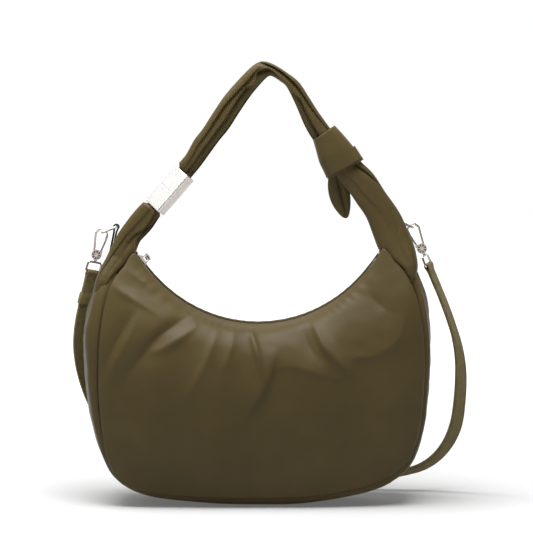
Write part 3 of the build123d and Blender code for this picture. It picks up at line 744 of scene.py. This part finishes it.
# Outlines start at the lower end; the slide hides the middle.
LEFT_LEG_OUTER = [(-163, 206), (-162.5, 218), (-156.9, 233.9), (-150.6, 245.9), (-146, 255.6),
                  (-138, 270.8), (-127, 286), (-118.4, 296), (-110.2, 304.2), (-98, 318)]
LEFT_LEG_INNER = [(-146, 203), (-146, 215), (-142, 224.5), (-134, 233.5), (-125.5, 242),
                  (-121, 251), (-117, 261), (-110.5, 268.3), (-104.4, 275.2), (-95.2, 288.8),
                  (-83, 303)]
left_leg = pleated(
    LEFT_LEG_OUTER, LEFT_LEG_INNER,
    [(0, 21), (0.08, 22.5), (0.15, 22.5), (0.2, 20.5), (0.27, 17), (0.37, 12.5), (0.5, 10),
     (0.63, 8.8), (0.8, 7.5), (1, 6)],
    [
        ([(0, 0.1), (0.35, 0.2), (0.6, 0.4), (1, 0.5)], [(0, 0), (0.25, 1.6), (0.7, 2.0), (1, 1.5)],
         7, False),
        ([(0, 0.5), (0.45, 0.52), (0.6, 0.66), (0.75, 0.96), (1, 1)],
         [(0, 0), (0.4, 0.6), (0.52, 3.4), (0.7, 2.6), (0.8, 0)], 4, False),
        ([(0, 0.92), (0.5, 0.9), (0.62, 0.82), (0.8, 0.74), (1, 0.7)],
         [(0, 0), (0.42, 0), (0.55, 4.5), (0.7, 6.5), (0.82, 4.5), (1, 3)], 14, False),
        ([(0, 0.4), (1, 0.5)], [(0, 0), (0.4, 2.5), (1, 2.5)], 6, True),
        ([(0, 0.7), (1, 0.8)], [(0, 0), (0.4, 2), (1, 2.5)], 5, True),
    ], power=3.2, seed=5, crumple=0.22)
slide_end = SLIDE_START + slide_z * SLIDE_LENGTH
along_leg = (SLIDE_START - left_leg.mean(axis=1)) @ slide_z
left_leg = gathered(left_leg, along_leg)[along_leg > INSIDE_SLIDE]
split = int((along_leg > SLIDE_PUSH).sum())
piece = tube("left_leg_cloth", left_leg[:split + 1], OLIVE, caps=(True, False))
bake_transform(piece)
piece = tube("left_leg_end_cloth", left_leg[split:], OLIVE, caps=(False, True))
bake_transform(piece)

STRAND_OUTER = [(-89, 326), (-79.6, 337.8), (-70.6, 348.6), (-62.5, 363), (-54, 374), (-43, 391),
                (-32, 407), (-18, 423), (-6, 435), (2, 440.2), (9, 440.6), (18, 437.2),
                (30, 429.6), (42, 420), (52, 405), (61, 391), (70, 378.5), (79, 366),
                (84, 357)]
STRAND_INNER = [(-75.6, 313), (-65.6, 325.4), (-56, 337), (-47.3, 349), (-37, 363), (-28, 374),
                (-17, 391), (-6, 407), (4.5, 419.5), (10, 425), (13, 426.5), (16.5, 425.4),
                (22.5, 421.5), (29.5, 415.5), (38, 399), (48, 376), (57, 361), (66, 348),
                (71, 340)]
strand = pleated(
    STRAND_OUTER, STRAND_INNER,
    [(0, 5.5), (0.1, 6.8), (0.3, 7.6), (0.56, 7.6), (0.7, 7.6), (1, 7.2)],
    [
        ([(0, 0.5), (0.13, 0.34), (0.34, 0.27), (0.48, 0.4), (0.55, 0.3)],
         [(0, 0.5), (0.15, 2.0), (0.3, 4.0), (0.5, 4.2), (0.55, 0)], 4.5, False),
        ([(0, 0.62), (0.12, 0.62), (0.34, 0.64), (0.46, 0.56), (0.51, 0.95), (0.56, 1)],
         [(0, 2.8), (0.2, 5.4), (0.44, 7.4), (0.49, 3.0), (0.53, 0)], 20, False),
        ([(0, 0.84), (0.2, 0.88), (0.5, 0.9)], [(0, 2), (0.15, 1.6), (0.25, 0)], 3, False),
        ([(0.5, 0.9), (0.53, 0.42), (0.6, 0.62), (0.64, 1)],
         [(0.5, 0), (0.53, 6.5), (0.57, 7.0), (0.61, 2.5), (0.64, 0)], 10, False),
        ([(0.545, 0.05), (0.58, 0.22), (0.72, 0.27), (0.86, 0.17), (1, 0.1)],
         [(0.54, 0), (0.57, 4.0), (0.7, 5.0), (0.86, 2.4), (0.94, 0.5), (1, 0)], 4.0, False),
        ([(0.6, 1.0), (0.66, 0.98), (0.75, 0.56), (0.87, 0.6), (1, 0.72)],
         [(0.6, 0), (0.68, 3.0), (0.8, 5.6), (1, 6.0)], 14, False),
        ([(0, 0.35), (1, 0.5)], [(0, 2.5), (1, 2.5)], 6, True),
        ([(0, 0.75), (1, 0.7)], [(0, 2.5), (1, 2.5)], 6, True),
    ], count=260, seed=11)
rising, falling = strand[:130], strand[130:]     # the stretch near the slide, and the rest
along_strand = (rising.mean(axis=1) - slide_end) @ slide_z
rising = gathered(rising, along_strand)[along_strand > INSIDE_SLIDE]
piece = tube("upper_strand_cloth", np.vstack([rising, falling]), OLIVE)
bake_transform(piece)
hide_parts("handle_strap")

RIGHT_LEG_OUTER = [(89, 356), (97, 347.5), (105, 340), (112, 333.5), (118, 326.5), (128, 311),
                   (136, 300), (144, 287.5), (151, 272), (156.5, 259), (159.5, 247),
                   (160.5, 236), (158, 222)]
RIGHT_LEG_INNER = [(70, 338), (76, 332), (82, 324), (88, 315.5), (94, 308), (100, 299),
                   (107, 289), (111, 281), (116.5, 266), (122, 252.5), (129, 244.5), (143, 234),
                   (149, 221)]
right_leg = pleated(
    RIGHT_LEG_OUTER, RIGHT_LEG_INNER,
    [(0, 6.2), (0.25, 7.4), (0.5, 9), (0.62, 11), (0.72, 13.5), (0.8, 16.5), (0.88, 19.5),
     (0.94, 20), (1, 18)],
    [
        ([(0, 0.18), (0.1, 0.2), (0.24, 0.12), (0.36, 0.0)],
         [(0, 4.5), (0.14, 4.5), (0.26, 2.2), (0.36, 0)], 3.2, False),
        ([(0, 0.7), (0.3, 0.66), (0.5, 0.5), (1, 0.4)],
         [(0, 0.4), (0.2, 1.2), (0.4, 1.4), (0.6, 0.8), (0.75, 0)], 8, False),
        ([(0.5, 0.2), (0.75, 0.42), (1, 0.5)],
         [(0.4, 0), (0.6, 1.4), (0.75, 1.2), (0.85, 0)], 10, False),
        ([(0, 0.5), (1, 0.5)], [(0, 2.5), (0.7, 2.5), (0.85, 0)], 6, True),
    ], power=3.0, seed=17, crumple=0.25)
piece = tube("right_leg_cloth", right_leg, OLIVE)
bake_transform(piece)
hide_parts("handle_right_leg")

# Knot: a broad band round the handle, two layers deep, with a doubled hem below.
KNOT_AROUND, KNOT_ALONG = 120, 34


def knot_band(name, left, right, near, far, bulge, seed, thickness):
    """A band round the handle between its left and right outlines, near and far deep."""
    left, right = through(left, KNOT_ALONG), through(right, KNOT_ALONG)
    centre, reach = (left + right) / 2, (right - left) / 2
    x, y = superellipse(KNOT_AROUND, 3.4, 2.6)
    xz = centre[:, None] + reach[:, None] * x[None, :, None]
    swell = 1 + bulge * np.sin(pi * np.linspace(0, 1, KNOT_ALONG))[:, None]
    grid = np.stack([xz[..., 0], -y * (np.where(y > 0, near, far) * swell), xz[..., 1]], axis=-1)
    rough = noise_field(grid[..., 0] + grid[..., 1], grid[..., 2], seed, 24)
    grid[..., 1] += rough * 0.35 * np.sign(grid[..., 1])
    piece = grid_mesh(name, grid, OLIVE, "handle", close_columns=True)
    thicken(piece, thickness, 1.0)
    return piece


piece = knot_band(
    "knot_band_cloth", [(56.8, 363.5), (60, 352.5), (63.2, 341), (67.2, 332.5), (70.4, 325.5)],
    [(76.6, 376.4), (83.6, 369), (91, 360.5), (97.5, 352.4), (104.3, 344.6)],
    10.5, 16, 0.09, 31, 1.2)
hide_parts("knot_wrap")
knot_band("knot_hem_cloth", [(66.5, 336), (69, 329.5), (71.6, 324.2)],
          [(96.5, 356.5), (100.8, 350), (105.3, 343)], 9.6, 15, 0.0, 33, 1.1)

# Tail: a leaf of cloth folded along its middle, hanging behind the right leg.
TAIL_DOWN, TAIL_WIDE = 50, 72
tail_line = through([(78, 329, 9.5), (80.5, 318, 11), (84, 304, 12.5), (87.5, 292, 13.5),
                     (90, 284, 14)], TAIL_DOWN)        # X, Z and Y of the fold
tail_across = unit(vec(0.93, 0, 0.36))
tail_grid = np.zeros((TAIL_DOWN, TAIL_WIDE, 3))
cosine, sine = np.cos(full_turn(TAIL_WIDE)), np.sin(full_turn(TAIL_WIDE))
for i, s in enumerate(np.linspace(0, 1, TAIL_DOWN)):
    half = (6.5 + 4.3 * sin(pi * s**0.8)) * sqrt(1.0001 - s**5)
    x = half * cosine
    lobe = 3.6 * (1 - s**4)**0.5 * np.abs(sine)**0.7
    fold = 4.2 * min(1, s * 3) * (1 - s**3) * np.exp(-np.abs((x - 0.16 * half) / 1.3))
    x0, z0, y0 = tail_line[i]
    tail_grid[i] = vec(x0, y0, z0) + np.outer(x, tail_across)
    tail_grid[i, :, 1] += np.where(sine > 0, -(lobe - fold), lobe * 0.9)
piece = tube("knot_tail_cloth", tail_grid, OLIVE, "tail")
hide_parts("knot_tail")

# ---- metal slide -------------------------------------------------------------------------


def slide_plate(name, points, material):
    """A thin chamfered plate on the slide; points are (across, depth, along), level by level."""
    points = placed(np.array(points, float), SLIDE_START, slide_x, slide_y, slide_z)
    make_mesh(name, points, block_faces(len(points) // 4), material, "slide",
              False)


EDGE, GROOVE = 0.4, 1.1     # the rim round the faces, and the groove between them


def face_plate(name, low, high):
    """One of the two polished plates on the slide's front face."""
    half_x, half_z = (SLIDE_WIDTH - EDGE - GROOVE) / 2, (high - low) / 2
    slide_plate(name, [((EDGE - GROOVE) / 2 + sx * (half_x - inset), -SLIDE_DEPTH / 2 - level,
                        (low + high) / 2 + sz * (half_z - inset))
                       for level, inset in ((0, 0), (0.275, 0), (0.5, 0.35))
                       for sx, sz in CORNERS], SLIDE_METAL)


face_plate("slide_face_lower", EDGE, (SLIDE_LENGTH - GROOVE) / 2)
slide_plate("slide_side_plate", [
    (SLIDE_WIDTH / 2 + level, sy * (SLIDE_DEPTH / 2 - 0.9 - inset),
     SLIDE_LENGTH / 2 + sz * ((SLIDE_LENGTH - 1) / 2 - inset))
    for level, inset in ((0, 0), (0.3, 0.25)) for sy, sz in CORNERS], SLIDE_SIDE)
face_plate("slide_face_upper", (SLIDE_LENGTH + GROOVE) / 2, SLIDE_LENGTH - EDGE)

# ---- crossbody strap ---------------------------------------------------------------------
WEBBING_WIDTH, WEBBING_THICK = 14.0, 1.45


class Side:
    """The frame of one strap end, turned with its ring: wide, up and the way it faces."""

    def __init__(self, eye, tilt, turn):
        t, a = radians(tilt), radians(turn)
        self.eye = vec(*eye)
        self.up = vec(sin(t), 0, cos(t))
        flat = vec(cos(t), 0, -sin(t))
        self.wide = flat * cos(a) + vec(0, sin(a), 0)
        self.face = vec(0, -cos(a), 0) + flat * sin(a)
        self.flat = flat

    def place(self, points):
        """Points (wide, up, face) in the row frame."""
        return placed(np.asarray(points, float), self.eye, self.wide, self.up, self.face)


LEFT = Side((-156.5, 22, 269.3), 13.6, 35)
RIGHT = Side((157, 22, 274.5), -23, 65)
RING_BOTTOM, LEFT_FOLD_END, RIGHT_FOLD_END = -41.5, -78.0, -66.0

strap_start = LEFT.eye + LEFT.up * LEFT_FOLD_END
strap_finish = RIGHT.eye + RIGHT.up * RIGHT_FOLD_END
STRAP_ROUTE = np.array([
    strap_start, strap_start - LEFT.up * 26, (-179, 36, 128), (-166, 52, 87), (-140, 62, 47),
    (-95, 67, 21), (-38, 69, 11), (22, 69, 10.5), (80, 67, 14), (134, 62, 16), (176, 54, 25),
    (203, 45, 59), (208, 34, 108), (206, 26, 148), strap_finish - RIGHT.up * 28, strap_finish,
])


def nurbs_line(points):
    """Points read from a smooth NURBS spline with these control points."""
    curve = bpy.data.curves.new("route", "CURVE")
    curve.dimensions = "3D"
    curve.resolution_u = 16
    spline = curve.splines.new("NURBS")
    spline.points.add(len(points) - 1)
    for point, place in zip(spline.points, points):
        point.co = (*place, 1)
    spline.order_u = 3
    spline.use_endpoint_u = True
    holder = bpy.data.objects.new("route", curve)
    mesh = bpy.data.meshes.new_from_object(holder)
    line = np.array([vertex.co[:] for vertex in mesh.vertices])
    bpy.data.objects.remove(holder)
    bpy.data.curves.remove(curve)
    bpy.data.meshes.remove(mesh)
    return line


def ribbon_section(width, thick, cord_groove=0.35):
    """Outline of two webbings sewn on each other: rounded edges, a groove between them."""
    half, edge = width / 2, thick / 2
    across = np.linspace(-half + 0.5, half - 0.5, 12)
    top = [(x, edge - 0.18 * (abs(abs(x) - (half - 1.6)) < 0.5)) for x in across]
    right = [(half - 0.1, edge - 0.3), (half, edge * 0.5), (half - cord_groove, 0.0),
             (half, -edge * 0.5), (half - 0.1, -edge + 0.3)]
    return np.array(top + right + [(-x, -y) for x, y in top + right])


def swept(line, wide, section):
    """Rings of a cross-section along a line, its first axis along wide."""
    forward = unit(np.gradient(line, axis=0))
    wide = unit(wide - forward * (wide * forward).sum(-1, keepdims=True))
    face = np.cross(forward, wide)
    return (line[:, None] + section[None, :, :1] * wide[:, None]
            + section[None, :, 1:] * face[:, None])


def loop_line(legs, radius, top, turns, count):
    """A folded webbing's line in (face, up): a leg, a half turn round top, and the other leg."""
    arc = [(radius * cos(a), top + radius * sin(a)) for a in np.radians(np.linspace(0, 180, turns))]
    return through(legs + arc + [(-x, z) for x, z in legs[::-1]], count)


route = resample(nurbs_line(STRAP_ROUTE), 420)
forward = unit(np.gradient(route, axis=0))
flat_wide = unit(np.cross(forward, vec(0, 1, 0)))
share = np.linspace(0, 1, len(route))
twist = np.radians(at([(0, 35), (0.12, 30), (0.35, 4), (0.55, -8), (0.68, -58), (0.78, -24),
                       (0.86, -36), (0.93, -62), (1, -65)], share))
strap_wide = flat_wide * np.cos(twist)[:, None] + vec(0, 1, 0) * np.sin(twist)[:, None]
strap = swept(route, strap_wide, ribbon_section(WEBBING_WIDTH, 2 * WEBBING_THICK))
strap_piece = tube("strap_cloth_ribbon", strap, STRAP, "strap")
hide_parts("strap_webbing")


STITCH_PITCH, STITCH_REACH, STITCH_LIFT = 3.0, 5.3, 1.33
even = resample(np.c_[route, strap_wide], int(travelled(route)[-1] / STITCH_PITCH * 2))
centre, wide = even[:, :3], unit(even[:, 3:])
normal = unit(np.cross(unit(np.gradient(centre, axis=0)), wide))
for side, tag in ((1, "bd"), (-1, "ad")):
    stitches(f"strap_stitch_{tag}", centre + wide * side * STITCH_REACH + normal * STITCH_LIFT,
             normal, 1.6, 0.26, "strap")

for side, name, end in ((LEFT, "left", LEFT_FOLD_END), (RIGHT, "right", RIGHT_FOLD_END)):
    bar = RING_BOTTOM
    line = loop_line([(0.85, end), (0.85, (end + bar) / 2), (0.95, bar - 6), (1.6, bar - 2.6)],
                     2.15, bar, 15, 110)
    line = side.place(np.stack([0 * line[:, 0], line[:, 1], line[:, 0]], axis=1))
    fold = swept(line, np.repeat(side.wide[None], len(line), axis=0),
                 ribbon_section(WEBBING_WIDTH, WEBBING_THICK, 0.1))
    piece = tube(f"{name}_strap_end_cloth", fold, STRAP, "strap")
    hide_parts(f"{name}_strap_end")
    for face, tag in ((1, "front"), (-1, "back")):
        normal = np.repeat((side.face * face)[None], 9, axis=0)
        for i, height in enumerate((bar - 6.5, bar - 8.5, end + 3.5)):
            row = side.place([(x, height, face * 1.64) for x in np.linspace(-5.6, 5.6, 9)])
            stitches(f"{name}_end_stitch_{tag}_{i}", row, normal, 1.3, 0.26, "strap")

# keeper: a webbing loop round the left strap end
KEEPER_UP, KEEPER_LENGTH, KEEPER_HALF = -69.0, 12.0, (8.35, 2.95)
KEEPER_LEVELS = ((-0.5, 0.93), (-0.48, 0.97), (-0.44, 1.0), (0.44, 1.0), (0.48, 0.97), (0.5, 0.93))
outline = np.stack(superellipse(64, 7, 4), 1) * KEEPER_HALF
rings = [[(x * k, KEEPER_UP + t * KEEPER_LENGTH, y * k) for x, y in outline]
         for t, k in KEEPER_LEVELS]
piece = grid_mesh("keeper_cloth", LEFT.place(rings), STRAP, "keeper",
                  close_columns=True, flip=True)
thicken(piece, 1.0)
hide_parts("strap_keeper")

# black ring tabs
for name, tab, lean in (("left", vec(-142, 22, 275), 12), ("right", vec(143, 22, 281), -12)):
    lean = radians(lean)
    up, across = vec(sin(lean), 0, cos(lean)), vec(cos(lean), 0, -sin(lean))
    line = loop_line([(1.1, -40), (1.1, -20), (1.25, -6), (1.8, -2.4)], 2.5, 0, 13, 90)
    line = tab + np.outer(line[:, 0], across) + np.outer(line[:, 1], up)
    fold = swept(line, np.repeat(vec(0, 1, 0)[None], len(line), axis=0),
                 ribbon_section(6.6, 1.7, 0.1))
    piece = tube(f"{name}_tab_cloth", fold, BLACK, "root")
    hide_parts(f"{name}_ring_tab")

# dark plates on the hooks' caps: painted shade where the recesses of the caps' flutes lie in shadow
FLUTE_SHADE_PLATES, CAP_UP = 8, -23
FLUTE_SHADE_CORNERS = ((1.9, 11), (1.9, -11), (4.6, -16), (4.6, 16))   # radius and angle
for side, name in ((LEFT, "left"), (RIGHT, "right")):
    shapes = []
    for k in range(FLUTE_SHADE_PLATES):
        points = []
        for depth in (4.0, 4.18):
            for radius, spread in FLUTE_SHADE_CORNERS:
                a = radians(k * 360 / FLUTE_SHADE_PLATES + spread)
                points.append(side.eye + side.flat * radius * cos(a)
                              + side.up * (radius * sin(a) + CAP_UP) - vec(0, depth, 0))
        faces = [(7, 6, 5, 4), (0, 1, 2, 3)] + [(m, (m + 1) % 4, (m + 1) % 4 + 4, m + 4)
                                                for m in range(4)]
        shapes.append((np.array(points), faces))
    joined(f"{name}_cap_painted_shade_flutes", shapes, PAINTED_SHADE_NICKEL, f"{name}_hook")

# ---- materials of the CAD nodes that stay ------------------------------------------------
PLATED = ["zip_stops", "zip_slider", "zip_pull", "strap_adjuster"] + [
    f"{side}_{part}" for side in ("left", "right")
    for part in ("d_ring", "hook_frame", "hook_gate", "gate_pin", "strap_ring", "hook_cap")]
for name in ["handle_slide"] + PLATED:
    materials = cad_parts[name].data.materials
    if len(materials) == 0:
        materials.append(None)
    for index in range(len(materials)):
        materials[index] = SLIDE_SIDE if name == "handle_slide" else NICKEL

# ---- stage, light and camera, all in metres ----------------------------------------------
FLOOR_HALF = 6.0
FLOOR_GLOW = (0.12, 1.0)    # beside the bag, and far from it, where floor and sky look the same
GLOW_REACH = (0.2, 1.25)    # distances from the bag
SKY_LIGHT, SKY_BEHIND, SKY_SEEN = 0.03, 0.85, 1.0
SKY_TURN = (0.3, 0.6)       # share of +Y in the direction of the sky that lights from behind


def floor():
    """A pale floor that glows more with the distance from the bag, on every side of it."""
    mesh = bpy.data.meshes.new("floor")
    mesh.from_pydata([(x * FLOOR_HALF, y * FLOOR_HALF, 0) for x, y in CORNERS], [],
                     [(0, 1, 2, 3)])
    n = Nodes("floor_paint")
    away = n.add("ShaderNodeVectorMath", {0: n.place}, operation="LENGTH").outputs["Value"]
    glow = n.add("ShaderNodeMapRange", {
        "Value": away, "From Min": GLOW_REACH[0], "From Max": GLOW_REACH[1],
        "To Min": FLOOR_GLOW[0], "To Max": FLOOR_GLOW[1]}).outputs["Result"]
    mesh.materials.append(n.set(Base_Color=(0.5, 0.5, 0.5, 1), Roughness=0.9,
                                Emission_Color=(1, 1, 1, 1), Emission_Strength=glow))
    plain = bpy.data.objects.new("floor", mesh)
    bpy.context.scene.collection.objects.link(plain)


def sky():
    """A white sky to look at, which lights the bag from behind and hardly from elsewhere."""
    world = bpy.data.worlds.new("studio")
    world.use_nodes = True
    nodes, links = world.node_tree.nodes, world.node_tree.links
    direction = nodes.new("ShaderNodeSeparateXYZ")
    links.new(nodes.new("ShaderNodeTexCoord").outputs["Generated"], direction.inputs[0])
    light, strength = nodes.new("ShaderNodeMapRange"), nodes.new("ShaderNodeMapRange")
    for key, value in (("From Min", SKY_TURN[0]), ("From Max", SKY_TURN[1]),
                       ("To Min", SKY_LIGHT), ("To Max", SKY_BEHIND)):
        light.inputs[key].default_value = value
    strength.inputs["To Max"].default_value = SKY_SEEN
    background = nodes["Background"]
    background.inputs["Color"].default_value = (1, 1, 1, 1)
    links.new(direction.outputs["Y"], light.inputs["Value"])
    links.new(light.outputs["Result"], strength.inputs["To Min"])
    links.new(nodes.new("ShaderNodeLightPath").outputs["Is Camera Ray"],
              strength.inputs["Value"])
    links.new(strength.outputs["Result"], background.inputs["Strength"])
    bpy.context.scene.world = world


def area_light(name, place, target, size, power):
    light = bpy.data.lights.new(name, "AREA")
    light.shape = "RECTANGLE"
    light.size, light.size_y = size
    light.energy = power
    lamp = bpy.data.objects.new(name, light)
    bpy.context.scene.collection.objects.link(lamp)
    lamp.location = place
    lamp.rotation_euler = (Vector(target) - Vector(place)).to_track_quat("-Z", "Y").to_euler()


floor()
sky()
area_light("top_softbox", (-0.12, -0.22, 1.3), (0, 0, 0.22), (1.3, 0.7), 36)
area_light("left_card", (-0.95, -0.6, 0.98), (0, 0, 0.25), (0.6, 0.6), 1.6)
area_light("front_fill", (-0.6, -2.2, 0.9), (0, 0, 0.25), (1.8, 1.2), 0.25)
bpy.context.scene.view_settings.view_transform = "Standard"

CAMERA_AIM = Vector((0.0095, 0, 0.2365))
CAMERA_DISTANCE = 2.2
CAMERA_ELEVATION = radians(4.0)
VIEW_WIDTH = 0.533          # seen at the bag's distance
camera_data = bpy.data.cameras.new("camera")
camera_data.sensor_width = 36
camera_data.lens = camera_data.sensor_width * CAMERA_DISTANCE / VIEW_WIDTH
camera = bpy.data.objects.new("camera", camera_data)
bpy.context.scene.collection.objects.link(camera)
camera.location = CAMERA_AIM + CAMERA_DISTANCE * Vector(
    (0, -cos(CAMERA_ELEVATION), sin(CAMERA_ELEVATION)))
camera.rotation_euler = (CAMERA_AIM - camera.location).to_track_quat("-Z", "Y").to_euler()
bpy.context.scene.camera = camera
